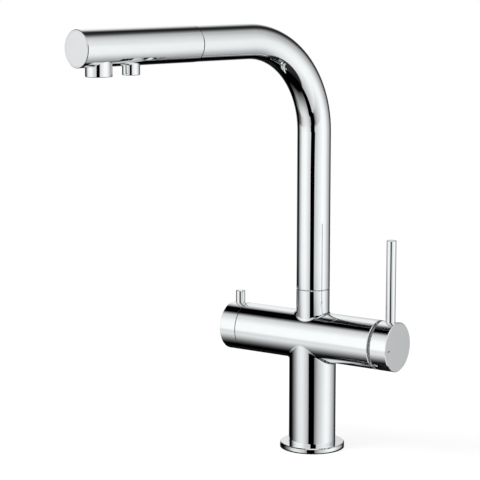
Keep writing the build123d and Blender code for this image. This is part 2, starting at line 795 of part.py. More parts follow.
with BuildPart() as cartridge_housing:
    with BuildSketch(across_barrel(cartridge_start_x)):
        Circle(cartridge_d / 2)
    extrude(amount=cartridge_shoulder_x - cartridge_start_x)
    with BuildSketch(across_barrel(cartridge_shoulder_x)):
        Circle(cartridge_nose_d / 2)
    extrude(amount=cartridge_nose_x - cartridge_shoulder_x)
    with BuildSketch(across_barrel(cartridge_base_x)):
        Circle(cartridge_bore_d / 2)
    extrude(amount=cartridge_nose_x, mode=Mode.SUBTRACT)
    with BuildSketch(across_barrel(clip_groove_x)):
        Circle(cartridge_bore_d / 2 + clip_depth)
    extrude(amount=clip_t + clip_slack, mode=Mode.SUBTRACT)
    with BuildSketch(across_barrel(cartridge_start_x)):
        with GridLocations(cartridge_port_pitch, 0, 3, 1):
            Circle(passage_d / 2)
    extrude(amount=cartridge_base_t, mode=Mode.SUBTRACT)
    with BuildSketch(across_barrel(cartridge_start_x)):
        with GridLocations(cartridge_port_pitch, 0, 3, 1):
            Circle(port_seal_d / 2 + seated)
    extrude(amount=port_seal_t - free, mode=Mode.SUBTRACT)
    # pegs into the chamber's floor, and the rail that stops the lever's turn
    with BuildSketch(across_barrel(cartridge_start_x)):
        with GridLocations(0, 2 * peg_offset, 1, 2):
            Circle(peg_d / 2)
    extrude(amount=-peg_length - free)
    add(
        ring_sector(
            cartridge_base_x,
            key_length,
            key_r,
            cartridge_bore_r + rooting,
            key_angle,
            key_half_angle,
        )
    )
save(cartridge_housing, "cartridge_housing")

with BuildPart() as cartridge_seals:
    with BuildSketch(across_barrel(chamber_floor_x)):
        with GridLocations(cartridge_port_pitch, 0, 3, 1):
            Circle(port_seal_d / 2)
            Circle(passage_d / 2, mode=Mode.SUBTRACT)
    extrude(amount=port_seal_t)
save(cartridge_seals, "cartridge_seals")

with BuildPart() as cartridge_fixed_disc:
    with BuildSketch(across_barrel(cartridge_base_x)):
        Circle(cartridge_bore_d / 2 - seated)
        with GridLocations(cartridge_port_pitch, 0, 3, 1):
            Circle(passage_d / 2, mode=Mode.SUBTRACT)
    extrude(amount=fixed_disc_t)
    notch = ring_sector(
        cartridge_base_x,
        fixed_disc_t,
        key_r - seated,
        cartridge_bore_r,
        key_angle,
        key_half_angle + degrees(seated / key_r),
    )
    add(notch, mode=Mode.SUBTRACT)
save(cartridge_fixed_disc, "cartridge_fixed_disc")

with BuildPart() as cartridge_moving_disc:
    with BuildSketch(across_barrel(disc_face_x)):
        with Locations((0, moving_disc_rest)):
            Circle(moving_disc_d / 2)
    extrude(amount=moving_disc_t)
    with BuildSketch(across_barrel(disc_face_x)):
        with Locations((0, moving_disc_rest)):
            SlotOverall(disc_pocket_l, disc_pocket_w)
    extrude(amount=disc_pocket_depth, mode=Mode.SUBTRACT)
save(cartridge_moving_disc, "cartridge_moving_disc")

pocket_floor_x = tongue_x - tongue_d / 2 - tongue_slack
with BuildPart() as disc_driver:
    with BuildSketch(across_barrel(driver_x)):
        with Locations((0, moving_disc_rest)):
            Circle(moving_disc_d / 2)
    extrude(amount=driver_t)
    with BuildSketch(across_barrel(pocket_floor_x)):
        Rectangle(stem_width + 2 * seated, tongue_d + 2 * tongue_slack)
    extrude(amount=driver_t, mode=Mode.SUBTRACT)
save(disc_driver, "disc_driver")

# ---------------------------------------------------------------- carrier, pin and stem
tilt_axis_plane = Plane(origin=(pivot_x, 0, barrel_z), x_dir=(1, 0, 0), z_dir=(0, -1, 0))
slot_length = 2 * carrier_t

with BuildPart() as disc_carrier:
    with BuildSketch(across_barrel(carrier_x)):
        Circle(cartridge_bore_d / 2 - running)
    extrude(amount=carrier_t)
    # the slot is the space that the stem sweeps between closed and fully open
    with BuildSketch(tilt_axis_plane):
        for tilt in (0, -tilt_range):
            Rectangle(slot_length, stem_depth + 2 * slot_slack, rotation=tilt)
        make_hull()
    extrude(amount=stem_width / 2 + seated, both=True, mode=Mode.SUBTRACT)
    with BuildSketch(tilt_axis_plane):
        Circle(tilt_pin_d / 2)
    extrude(amount=cartridge_bore_d, both=True, mode=Mode.SUBTRACT)
    # the groove runs along the housing's rail from one end of the turn to the other
    groove = ring_sector(
        carrier_x,
        turn_stop_length,
        key_r - free,
        cartridge_bore_r,
        key_angle,
        turn_half_range + key_half_angle + degrees(running / key_r),
    )
    add(groove, mode=Mode.SUBTRACT)
save(disc_carrier, "disc_carrier")

with BuildPart() as tilt_pin:
    with BuildSketch(tilt_axis_plane):
        Circle(tilt_pin_d / 2)
    extrude(amount=cartridge_bore_d / 2 - tilt_pin_inset, both=True)
save(tilt_pin, "tilt_pin")

with BuildPart() as mixer_stem:
    # flat part: tongue, neck and the boss that the pin goes through
    with BuildSketch(tilt_axis_plane):
        with Locations((-tongue_arm, 0)):
            Circle(tongue_d / 2)
        with Locations((-(tongue_arm + stem_boss_reach) / 2, 0)):
            Rectangle(tongue_arm - stem_boss_reach, tongue_neck)
        with Locations(((stem_flat_reach - stem_boss_reach) / 2, 0)):
            Rectangle(stem_flat_reach + stem_boss_reach, stem_depth)
    extrude(amount=stem_width / 2, both=True)
    # round shank, then the square that the handle grips
    with BuildSketch(across_barrel(pivot_x + stem_flat_reach)):
        Circle(stem_width / 2)
    extrude(amount=stem_round_end_x - pivot_x - stem_flat_reach)
    with BuildSketch(across_barrel(stem_round_end_x)):
        Rectangle(stem_square, stem_square)
    extrude(amount=stem_end_x - stem_round_end_x)
    with BuildSketch(tilt_axis_plane):
        Circle(tilt_pin_d / 2 + running)
    extrude(amount=stem_width, both=True, mode=Mode.SUBTRACT)
save(mixer_stem, "mixer_stem")

clip_plane = across_barrel(clip_groove_x + clip_slack / 2)
cartridge_clip = ring(clip_plane, clip_outer_d, clip_outer_d - 2 * clip_w, clip_t)
save(cartridge_clip, "cartridge_clip")

with BuildPart() as cartridge_nut:
    with BuildSketch(across_barrel(cartridge_shoulder_x)):
        Circle(cartridge_nut_d / 2 - running)
        Circle(cartridge_nose_d / 2 + seated, mode=Mode.SUBTRACT)
    extrude(amount=cartridge_nut_t)
save(cartridge_nut, "cartridge_nut")

# ---------------------------------------------------------------- cover ring: a flange and a zone of a sphere
dome_inner_r = dome_r - dome_t


def on_sphere(radius, angle):
    """A point at an angle from the barrel's axis on a sphere about the pivot, as (x, radius)."""
    return (pivot_x + radius * cos(radians(angle)), radius * sin(radians(angle)))


def sphere_height(radius, x):
    """The radius at which a sphere about the pivot passes x."""
    return sqrt(radius**2 - (x - pivot_x) ** 2)


with BuildPart() as cover_ring:
    with BuildSketch(barrel_profile):
        with BuildLine():
            outer_foot = (cover_face_x, sphere_height(dome_r, cover_face_x))
            inner_foot = (cartridge_nose_x, sphere_height(dome_inner_r, cartridge_nose_x))
            flange_r = cartridge_nut_d / 2 - seated
            Polyline(inner_foot, (cartridge_nose_x, flange_r), (cover_face_x, flange_r), outer_foot)
            RadiusArc(outer_foot, on_sphere(dome_r, dome_opening), dome_r)
            Line(on_sphere(dome_r, dome_opening), on_sphere(dome_inner_r, dome_opening))
            RadiusArc(on_sphere(dome_inner_r, dome_opening), inner_foot, -dome_inner_r)
        make_face()
    revolve(axis=barrel_axis)
save(cover_ring, "cover_ring")

# ================================================================ mixer handle
dish_rim_x = drum_right_x + dish_rim_depth
dish_floor_x = drum_right_x + dish_floor_depth


def lever_plane(x):
    """Horizontal plane through the barrel's axis, centred on a lever."""
    return Plane(origin=(x, 0, barrel_z), x_dir=(1, 0, 0), z_dir=(0, 0, 1))


def lever_seat(x):
    """The space of a pin lever's seat and thread, to be cut out of a drum."""
    with BuildPart() as cutter:
        with BuildSketch(lever_plane(x).offset(lever_seat_r)):
            Circle(lever_d / 2 + running)
        extrude(amount=barrel_d - lever_seat_r)
        with BuildSketch(lever_plane(x).offset(lever_thread_end_r)):
            Circle(lever_thread_d / 2 + running)
        extrude(amount=lever_thread_length)
    return cutter.part


with BuildPart() as mixer_drum:
    with BuildSketch(across_barrel(drum_right_x)):
        Circle(barrel_d / 2)
    extrude(amount=drum_right_end_x - drum_right_x)
    chamfer(mixer_drum.edges().filter_by(GeomType.CIRCLE).sort_by(Axis.X)[-1], drum_bevel)
    # dished inside, so that the lower rim clears the barrel's end when the lever is lifted out
    with BuildSketch(barrel_profile):
        with BuildLine():
            Polyline(
                (drum_right_x, 0),
                (drum_right_x, drum_bore_r),
                (dish_rim_x, drum_bore_r),
                (dish_floor_x, dish_floor_r),
                (dish_floor_x, 0),
                close=True,
            )
        make_face()
    revolve(axis=barrel_axis, mode=Mode.SUBTRACT)
    # boss under the lever
    with BuildSketch(lever_plane(mixer_lever_x).offset(lever_thread_end_r - overrun)):
        Circle(lever_boss_d / 2)
    extrude(amount=drum_bore_r + rooting - lever_thread_end_r + overrun)
    # relief round the dome
    with Locations((pivot_x, 0, barrel_z)):
        Sphere(dome_r + dome_relief, mode=Mode.SUBTRACT)
    # square socket for the stem, seat of the lever and thread of the set screw
    with BuildSketch(across_barrel(drum_right_x)):
        Rectangle(stem_square + 2 * running, stem_square + 2 * running)
    extrude(amount=stem_end_x + running - drum_right_x, mode=Mode.SUBTRACT)
    add(lever_seat(mixer_lever_x), mode=Mode.SUBTRACT)
    with BuildSketch(lever_plane(mixer_set_screw_x)):
        Circle(set_screw_d / 2)
    extrude(amount=-barrel_d, mode=Mode.SUBTRACT)
    # groove for the enamel of the hot mark
    with BuildSketch(across_barrel(drum_right_end_x)):
        with Locations((mark_offset, -mark_drop)):
            SlotOverall(mark_l, mark_w)
    extrude(amount=-mark_recess - mark_t, mode=Mode.SUBTRACT)
save(mixer_drum, "mixer_drum")

with BuildPart() as hot_mark:
    with BuildSketch(across_barrel(drum_right_end_x - mark_recess)):
        with Locations((mark_offset, -mark_drop)):
            SlotOverall(mark_l, mark_w)
    extrude(amount=-mark_t)
save(hot_mark, "hot_mark")


def pin_lever(x, height):
    """A round pin with a bevelled top, a flat seat and a threaded end."""
    with BuildPart() as piece:
        with BuildSketch(lever_plane(x).offset(lever_seat_r)):
            Circle(lever_d / 2)
        extrude(amount=lever_seat_depth + height)
        chamfer(piece.edges().filter_by(GeomType.CIRCLE).sort_by(Axis.Z)[-1], edge_break)
        with BuildSketch(lever_plane(x).offset(lever_thread_end_r + free)):
            Circle(lever_thread_d / 2)
        extrude(amount=lever_thread_length - free)
    return piece


mixer_lever = pin_lever(mixer_lever_x, mixer_lever_height)
save(mixer_lever, "mixer_lever")


def set_screw(x, tip_r):
    """A headless screw from the drum's underside to the flat that it grips."""
    outer_r = barrel_d / 2 - set_screw_inset
    with BuildPart() as piece:
        with BuildSketch(lever_plane(x).offset(-outer_r)):
            Circle(set_screw_d / 2 - running)
        extrude(amount=outer_r - tip_r)
        with BuildSketch(lever_plane(x).offset(-outer_r)):
            RegularPolygon(hex_key / 2, 6, major_radius=False)
        extrude(amount=hex_key_depth, mode=Mode.SUBTRACT)
    return piece


mixer_set_screw = set_screw(mixer_set_screw_x, stem_square / 2)
save(mixer_set_screw, "mixer_set_screw")

# ================================================================ filter valve
valve_port_y = port_circle_r * sin(radians(filter_port_angles["filter_out"]))
valve_o_ring_x = valve_shoulder_x + valve_o_ring_inset
spindle_o_ring_x = valve_shoulder_x + spindle_o_ring_inset
valve_stop_half_angle = degrees(asin(valve_stop_w / 2 / valve_stop_r))

with BuildPart() as valve_housing:
    with BuildSketch(across_barrel(valve_seal_x)):
        Circle(valve_d / 2)
    extrude(amount=valve_shoulder_x - valve_seal_x)
    with BuildSketch(across_barrel(valve_shoulder_x)):
        RegularPolygon(valve_across_flats / 2, 6, major_radius=False)
    extrude(amount=valve_head_x - valve_shoulder_x)
    with BuildSketch(across_barrel(valve_seal_x)):
        Circle(valve_disc_chamber_d / 2)
    extrude(amount=valve_step_x - valve_seal_x, mode=Mode.SUBTRACT)
    with BuildSketch(across_barrel(valve_seal_x)):
        Circle(spindle_d / 2 + running)
    extrude(amount=valve_head_x, mode=Mode.SUBTRACT)
    with BuildSketch(across_barrel(valve_o_ring_x)):
        Circle(valve_d / 2)
        Circle(valve_d / 2 - o_ring_depth, mode=Mode.SUBTRACT)
    extrude(amount=o_ring_w, mode=Mode.SUBTRACT)
    # the stop that ends the handle's quarter turn
    add(
        ring_sector(
            valve_step_x - rooting,
            valve_moving_x - free - valve_step_x + rooting,
            valve_stop_r,
            valve_disc_chamber_d / 2 + rooting,
            valve_stop_angle,
            valve_stop_half_angle,
        )
    )
save(valve_housing, "valve_housing")

valve_o_ring = ring(across_barrel(valve_o_ring_x), valve_d, valve_d - 2 * o_ring_depth, o_ring_w)
save(valve_o_ring, "valve_o_ring")

valve_seal = ring(across_barrel(valve_seal_x), valve_d - 2 * seated, valve_seal_inner_d, valve_seal_t)
save(valve_seal, "valve_seal")

with BuildPart() as valve_fixed_disc:
    with BuildSketch(across_barrel(valve_seal_x)):
        Circle(valve_disc_chamber_d / 2 - seated)
        with GridLocations(2 * valve_port_y, 0, 2, 1):
            Circle(valve_disc_hole_d / 2, mode=Mode.SUBTRACT)
    extrude(amount=-valve_disc_t)
save(valve_fixed_disc, "valve_fixed_disc")

with BuildPart() as valve_moving_disc:
    with BuildSketch(across_barrel(valve_disc_x)):
        Circle(valve_moving_d / 2)
    extrude(amount=-valve_moving_disc_t)
    # the bridge joins the two ports when the valve is open, and lies across them when it is shut
    with BuildSketch(across_barrel(valve_disc_x)):
        SlotOverall(valve_bridge_l, valve_disc_hole_d, rotation=90)
    extrude(amount=-valve_bridge_depth, mode=Mode.SUBTRACT)
    # pockets for the spindle's tabs
    with BuildSketch(across_barrel(valve_moving_x)):
        with GridLocations(drive_tab_pitch, 0, 2, 1):
            Rectangle(drive_tab_l + 2 * seated, drive_tab_w + 2 * seated)
    extrude(amount=drive_tab_t + seated, mode=Mode.SUBTRACT)
save(valve_moving_disc, "valve_moving_disc")

with BuildPart() as filter_spindle:
    with BuildSketch(across_barrel(valve_moving_x)):
        Circle(valve_moving_d / 2)
    extrude(amount=-spindle_flange_t)
    with BuildSketch(across_barrel(spindle_flange_x)):
        Circle(spindle_d / 2)
    extrude(amount=spindle_end_x - spindle_flange_x)
    with BuildSketch(across_barrel(spindle_o_ring_x)):
        Circle(spindle_d / 2)
        Circle(spindle_d / 2 - spindle_o_ring_depth, mode=Mode.SUBTRACT)
    extrude(amount=o_ring_w, mode=Mode.SUBTRACT)
    # tabs that turn the disc, and the notch that runs against the housing's stop
    with BuildSketch(across_barrel(valve_moving_x)):
        with GridLocations(drive_tab_pitch, 0, 2, 1):
            Rectangle(drive_tab_l, drive_tab_w)
    extrude(amount=drive_tab_t)
    notch = ring_sector(
        spindle_flange_x,
        spindle_flange_t,
        valve_stop_r - free,
        valve_moving_d / 2 + seated,
        valve_stop_angle - filter_range / 2,
        filter_range / 2 + valve_stop_half_angle + degrees(running / valve_stop_r),
    )
    add(notch, mode=Mode.SUBTRACT)
    # two flats where the handle's hub and its set screw hold
    with BuildSketch(across_barrel(spindle_flat_x)):
        with GridLocations(0, spindle_flat + spindle_d, 1, 2):
            Rectangle(2 * spindle_d, spindle_d)
    extrude(amount=spindle_end_x - spindle_flat_x, mode=Mode.SUBTRACT)
save(filter_spindle, "filter_spindle")

spindle_o_ring = ring(
    across_barrel(spindle_o_ring_x), spindle_d, spindle_d - 2 * spindle_o_ring_depth, o_ring_w
)
save(spindle_o_ring, "spindle_o_ring")

# ================================================================ filter handle
with BuildPart() as filter_drum:
    with BuildSketch(across_barrel(drum_left_x)):
        Circle(barrel_d / 2)
    extrude(amount=drum_left_end_x - drum_left_x)
    chamfer(filter_drum.edges().filter_by(GeomType.CIRCLE).sort_by(Axis.X)[0], drum_bevel)
    with BuildSketch(across_barrel(drum_left_x)):
        Circle(drum_bore_r)
    extrude(amount=filter_cavity_end_x - drum_left_x, mode=Mode.SUBTRACT)
    with BuildSketch(across_barrel(filter_hub_x)):
        Circle(filter_hub_d / 2)
    extrude(amount=filter_cavity_end_x - filter_hub_x)
    # bosses for the lever above and the set screw below
    with BuildSketch(lever_plane(filter_lever_x)):
        Circle(lever_boss_d / 2)
    extrude(amount=drum_bore_r + rooting, both=True)
    with BuildSketch(across_barrel(filter_hub_x)):
        Circle(spindle_d / 2 + running)
        with GridLocations(0, spindle_flat + spindle_d + 2 * running, 1, 2):
            Rectangle(2 * spindle_d, spindle_d, mode=Mode.SUBTRACT)
    extrude(amount=spindle_end_x - running - filter_hub_x, mode=Mode.SUBTRACT)
    add(lever_seat(filter_lever_x), mode=Mode.SUBTRACT)
    with BuildSketch(lever_plane(filter_lever_x)):
        Circle(set_screw_d / 2)
    extrude(amount=-barrel_d, mode=Mode.SUBTRACT)
save(filter_drum, "filter_drum")

filter_lever = pin_lever(filter_lever_x, filter_lever_height)
save(filter_lever, "filter_lever")

filter_set_screw = set_screw(filter_lever_x, spindle_flat / 2)
save(filter_set_screw, "filter_set_screw")
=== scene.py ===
"""Kitchen tap with hot, cold and filtered water, in polished chrome, dressed and lit.

Metres. The frame is the CAD model's: the origin is the centre of the base flange's underside,
+Z is up, +X runs along the barrel to the mixer handle and -Y faces the user. The sections follow
the tap as it is put together, from the worktop up, and the studio comes last.
"""

from math import cos, pi, radians, sin

import bmesh
import bpy
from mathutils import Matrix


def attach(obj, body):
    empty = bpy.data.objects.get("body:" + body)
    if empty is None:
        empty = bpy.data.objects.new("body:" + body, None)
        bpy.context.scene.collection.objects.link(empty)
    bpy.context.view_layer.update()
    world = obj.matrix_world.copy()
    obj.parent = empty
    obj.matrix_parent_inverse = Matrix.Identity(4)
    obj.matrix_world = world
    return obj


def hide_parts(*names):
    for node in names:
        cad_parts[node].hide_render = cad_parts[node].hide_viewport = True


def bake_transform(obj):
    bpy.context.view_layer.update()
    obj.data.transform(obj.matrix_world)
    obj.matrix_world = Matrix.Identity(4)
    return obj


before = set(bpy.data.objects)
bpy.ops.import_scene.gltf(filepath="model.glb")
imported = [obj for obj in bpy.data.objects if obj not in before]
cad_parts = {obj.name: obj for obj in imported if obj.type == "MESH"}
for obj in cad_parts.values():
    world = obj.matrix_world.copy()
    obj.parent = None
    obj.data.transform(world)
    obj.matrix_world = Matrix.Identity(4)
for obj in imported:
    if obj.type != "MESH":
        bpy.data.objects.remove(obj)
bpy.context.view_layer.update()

# ------------------------------------------------------------------ flange and column foot
# The flange is a turned brass plate that carries the whole tap on the worktop. It is polished
# and plated with nickel and chromium, and a rubber ring in its underside keeps water out.


class Wire:
    """One output in a node tree. Arithmetic on it adds Math nodes, node() adds any other."""

    def __init__(self, tree, socket=None):
        self.tree = tree
        self.socket = socket

    def node(self, kind, settings=None, inputs=None, output=0):
        """Add a node, with its settings, its inputs (values or wires) and the output to use."""
        added = self.tree.nodes.new(kind)
        for name, value in (settings or {}).items():
            if name == "stops":
                marks = added.color_ramp.elements
                marks[0].position, marks[1].position = value[0][0], value[-1][0]
                for place, _ in value[1:-1]:
                    marks.new(place)
                for mark, (_, colour) in zip(marks, value):
                    mark.color = (*colour, 1)
            else:
                setattr(added, name, value)
        for name, value in (inputs or {}).items():
            if isinstance(value, Wire):
                self.tree.links.new(value.socket, added.inputs[name])
            else:
                added.inputs[name].default_value = value
        return Wire(self.tree, added.outputs[output] if added.outputs else None)

    def out(self, name):
        return Wire(self.tree, self.socket.node.outputs[name])

    def math(self, operation, *values):
        return self.node("ShaderNodeMath", {"operation": operation}, dict(enumerate(values)))

    def ease(self, low, high, start=0.0, end=1.0):
        """Go smoothly from start to end while this value goes from low to high."""
        sizes = {"Value": self, "From Min": low, "From Max": high, "To Min": start, "To Max": end}
        return self.node("ShaderNodeMapRange", {"interpolation_type": "SMOOTHSTEP"}, sizes)

    def __add__(self, other):
        return self.math("ADD", self, other)

    __radd__ = __add__

    def __sub__(self, other):
        return self.math("SUBTRACT", self, other)

    def __rsub__(self, other):
        return self.math("SUBTRACT", other, self)

    def __mul__(self, other):
        return self.math("MULTIPLY", self, other)

    __rmul__ = __mul__


def finish(name, recipe):
    """A material. Its recipe gets the object coordinates and returns the shader's inputs."""
    material = bpy.data.materials.new(name)
    material.use_nodes = True
    material.node_tree.nodes.clear()
    place = Wire(material.node_tree).node("ShaderNodeTexCoord", output="Object")
    surface = place.node("ShaderNodeBsdfPrincipled", inputs=recipe(place))
    place.node("ShaderNodeOutputMaterial", inputs={"Surface": surface})
    return material


def grain(place, per_metre, detail=2.0, stretch=(1, 1, 1)):
    """Cloudy noise from 0 to 1, with so many clouds to the metre."""
    stretched = place.node("ShaderNodeMapping", inputs={"Vector": place, "Scale": stretch})
    return place.node("ShaderNodeTexNoise", inputs={
        "Vector": stretched, "Scale": per_metre, "Detail": detail})


def mixed(factor, first, second):
    """A colour between two colours."""
    return factor.node("ShaderNodeMix", {"data_type": "RGBA"}, {
        0: factor, 6: (*first, 1) if isinstance(first, tuple) else first,
        7: (*second, 1) if isinstance(second, tuple) else second}, output=2)


def bumps(height, depth):
    """A surface normal that follows a height from 0 to 1, so many metres deep."""
    return height.node("ShaderNodeBump", inputs={"Distance": depth, "Height": height})


def coat(material, *names):
    """Give CAD nodes their finish."""
    for name in names:
        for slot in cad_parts[name].material_slots:
            slot.material = material


def chromium(place):
    """Bright plate over polished brass: a faint haze, and the softest of waves from the wheel."""
    haze = grain(place, 120, detail=5)
    wave = grain(place, 45, detail=1)
    return {
        "Base Color": mixed(haze, (0.885, 0.910, 0.925), (0.935, 0.957, 0.970)),
        "Metallic": 1.0,
        "Roughness": haze.ease(0.35, 0.7, 0.004, 0.014),
        "Normal": bumps(wave, 0.000012),
    }


chrome = finish("polished_chromium", chromium)
coat(chrome, "base_flange")


def moulded_rubber(place):
    """Black nitrile with a matt moulded skin and a little talc left on it."""
    skin = grain(place, 2600, detail=3)
    talc = grain(place, 300, detail=4)
    return {
        "Base Color": mixed(talc.ease(0.5, 0.8), (0.012, 0.012, 0.013), (0.035, 0.035, 0.036)),
        "Roughness": skin.ease(0.3, 0.7, 0.5, 0.72),
        "Normal": bumps(skin, 0.00003),
    }


rubber = finish("moulded_rubber", moulded_rubber)
coat(rubber, "base_seal")

# ------------------------------------------------------------------ clamp under the worktop
# The threaded shank is cut from brass tube and screws up into the column. A rubber gasket, a
# steel washer and a brass hexagon nut clamp the tap to the worktop from below.
shank_r = 0.0165
shank_bore_r = 0.0145
shank_bottom, shank_top = -0.058, 0.014
thread_pitch = 0.0015
thread_depth = 0.0008
thread_lead_in = 0.0012
thread_start = shank_bottom + thread_lead_in
thread_sides = 72
rings_per_turn = 6
crest_margin = 0.0001  # what lies deeper than this below the crests isn't moved


def turned_brass(place):
    """Bare brass as it leaves the lathe, a little dulled by handling."""
    tool_marks = grain(place, 700, detail=1, stretch=(1, 1, 6))
    dull = grain(place, 160, detail=5)
    return {
        "Base Color": mixed(dull, (0.70, 0.49, 0.22), (0.86, 0.66, 0.36)),
        "Metallic": 1.0,
        "Roughness": dull.ease(0.3, 0.75, 0.2, 0.36) + tool_marks * 0.05,
        "Normal": bumps(tool_marks, 0.00002),
    }


def rolled_steel(place):
    """Stainless steel sheet and bar, with the fine lines of rolling."""
    lines = grain(place, 900, detail=2, stretch=(1, 12, 12))
    stain = grain(place, 140, detail=4)
    return {
        "Base Color": mixed(stain, (0.50, 0.50, 0.51), (0.66, 0.66, 0.67)),
        "Metallic": 1.0,
        "Roughness": 0.2 + lines * 0.14,
        "Normal": bumps(lines, 0.00001),
    }


brass = finish("turned_brass", turned_brass)
steel = finish("rolled_steel", rolled_steel)
coat(rubber, "clamp_gasket")
coat(steel, "clamp_washer")
coat(brass, "shank_nut")


def lathe(name, profile, sides):
    """A closed ring turned about Z from a closed outline of (radius, height) points."""
    mesh = bmesh.new()
    rings = []
    for radius, height in profile:
        turns = (2 * pi * i / sides for i in range(sides))
        rings.append([mesh.verts.new((radius * cos(t), radius * sin(t), height)) for t in turns])
    for lower, upper in zip(rings, rings[1:] + rings[:1]):
        for i in range(sides):
            j = (i + 1) % sides
            mesh.faces.new((lower[i], lower[j], upper[j], upper[i]))
    data = bpy.data.meshes.new(name)
    mesh.to_mesh(data)
    mesh.free()
    piece = bpy.data.objects.new(name, data)
    bpy.context.collection.objects.link(piece)
    return piece


def grow(piece, material, sizes, build):
    """Run a Geometry Nodes tree on a piece, and keep what it makes as a plain mesh."""
    tree = bpy.data.node_groups.new(piece.name, "GeometryNodeTree")
    for way in ("INPUT", "OUTPUT"):
        tree.interface.new_socket("Geometry", in_out=way, socket_type="NodeSocketGeometry")
    modifier = piece.modifiers.new("grow", "NODES")
    for name, size in sizes.items():
        kind = "NodeSocketInt" if isinstance(size, int) else "NodeSocketFloat"
        tree.interface.new_socket(name, in_out="INPUT", socket_type=kind)
    modifier.node_group = tree
    for item in tree.interface.items_tree:
        if item.in_out == "INPUT" and item.name in sizes:
            modifier[item.identifier] = sizes[item.name]
    shape = build(Wire(tree).node("NodeGroupInput"))
    shape = shape.node("GeometryNodeRealizeInstances", inputs={"Geometry": shape})
    shape = shape.node("GeometryNodeSetShadeSmooth", inputs={"Geometry": shape})
    shape = shape.node("GeometryNodeSetMaterial", inputs={"Geometry": shape, "Material": material})
    shape.node("NodeGroupOutput", inputs={"Geometry": shape})
    evaluated = piece.evaluated_get(bpy.context.evaluated_depsgraph_get())
    made = bpy.data.meshes.new_from_object(evaluated)
    piece.modifiers.clear()
    piece.data = made


def cut_thread(entry):
    """Press the outside in along a helix, from full depth in the groove to none at the crest."""
    spot = entry.node("GeometryNodeInputPosition")
    parts = spot.node("ShaderNodeSeparateXYZ", inputs={"Vector": spot})
    x, y, z = parts.out("X"), parts.out("Y"), parts.out("Z")
    radius = spot.node("ShaderNodeVectorMath", {"operation": "LENGTH"}, {
        0: spot.node("ShaderNodeCombineXYZ", inputs={"X": x, "Y": y})}, output="Value")
    turn = x.math("ARCTAN2", y, x) * (1 / (2 * pi))
    phase = x.math("FRACT", x.math("DIVIDE", z, entry.out("Pitch")) - turn)
    groove = x.math("ABSOLUTE", phase * 2.0 - 1.0).ease(0.1, 0.95)
    outside = x.math("GREATER_THAN", radius, entry.out("Outside"))
    depth = groove * outside * entry.out("Depth")
    inwards = x.math("DIVIDE", 0.0 - depth, radius)
    return entry.node("GeometryNodeSetPosition", inputs={
        "Geometry": entry, "Offset": spot.node("ShaderNodeCombineXYZ", inputs={
            "X": x * inwards, "Y": y * inwards})})


ring_count = round((shank_top - shank_bottom) / thread_pitch * rings_per_turn)
outside = [(shank_r, thread_start)]
for i in range(1, ring_count):
    ring_z = shank_bottom + (shank_top - shank_bottom) * i / ring_count
    if ring_z > thread_start:
        outside.append((shank_r, ring_z))
shank_outline = [(shank_bore_r, shank_top), (shank_bore_r, shank_bottom),
                 (shank_r - thread_depth, shank_bottom), *outside, (shank_r, shank_top)]
threaded_shank = lathe("threaded_shank", shank_outline, thread_sides)
grow(threaded_shank, brass, {
    "Pitch": thread_pitch, "Depth": thread_depth, "Outside": shank_r - crest_margin}, cut_thread)
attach(threaded_shank, "tap_base")
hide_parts("fixing_shank")

# ------------------------------------------------------------------ body and spout bearing
# Column, barrel and neck are one hot-pressed brass body, ground, polished and plated. The spout
# stands in it on a brass foot with two O-rings, two glide rings and a thin washer.
coat(chrome, "tap_body", "spout_tube")
coat(brass, "spout_foot")
coat(rubber, "spout_o_rings")
coat(steel, "swivel_stop_screw")


def acetal(place):
    """White bearing plastic, smooth, with the slight cloudiness of a thick moulding."""
    cloud = grain(place, 220, detail=3)
    skin = grain(place, 1500, detail=2)
    return {
        "Base Color": mixed(cloud, (0.74, 0.745, 0.74), (0.82, 0.82, 0.81)),
        "Roughness": skin.ease(0.3, 0.7, 0.3, 0.42),
        "Subsurface Weight": 0.08,
        "Subsurface Radius": (0.002, 0.002, 0.002),
        "Normal": bumps(skin, 0.00001),
    }


white_acetal = finish("white_acetal", acetal)
coat(white_acetal, "spout_glide_rings", "dock_bush")


def glass_filled_nylon(place):
    """Grey moulded plastic with the fine pale streaks of its glass fibres."""
    fibre = grain(place, 1800, detail=3, stretch=(1, 1, 4))
    return {
        "Base Color": mixed(fibre.ease(0.35, 0.75), (0.17, 0.175, 0.18), (0.26, 0.265, 0.27)),
        "Roughness": fibre.ease(0.3, 0.7, 0.38, 0.55),
        "Normal": bumps(fibre, 0.00002),
    }


grey_nylon = finish("glass_filled_nylon", glass_filled_nylon)
coat(grey_nylon, "swivel_washer")

# ------------------------------------------------------------------ pull-out hose
# Two water lines run in one nylon-sleeved hose, from the coupling below the worktop up through
# the spout to the head. It slides through the docking bush when the head is pulled.
spout_turn = radians(-12)
along_x, along_y = sin(spout_turn), -cos(spout_turn)
arm_z = 0.345
bend_r = 0.076
hose_r = 0.0055
hose_sides = 32
hose_ring_spacing = 0.003
hose_bottom, hose_reach = -0.056, 0.1257
riser_handle, arm_handle = 0.1, 0.015  # how far the straight parts' Bezier handles reach
bottom_handle = 0.02
quarter_handle = 0.5523 * bend_r  # makes a Bezier run a quarter of a circle
sleeve_yarn_per_metre = 1500


def nylon_sleeve(place):
    """Grey nylon yarn woven tight, with lighter flecks, and painted shade darkening the gaps
    between the yarns.
    """
    yarn = place.node("ShaderNodeTexVoronoi", inputs={
        "Vector": place, "Scale": sleeve_yarn_per_metre}, output="Distance")
    shade = grain(place, 500, detail=3)
    # the gaps between the yarns: painted shade darkens them, and they are also rougher
    yarn_gaps = yarn.ease(0.1, 0.75)
    return {
        "Base Color": mixed(yarn_gaps * shade.ease(0.3, 0.7, 0.6, 1.0),
                            (0.42, 0.43, 0.44), (0.13, 0.135, 0.14)),
        "Roughness": 0.42 + yarn_gaps * 0.3,
        "Sheen Weight": 0.2,
        "Normal": bumps(1 - yarn, 0.00012),
    }


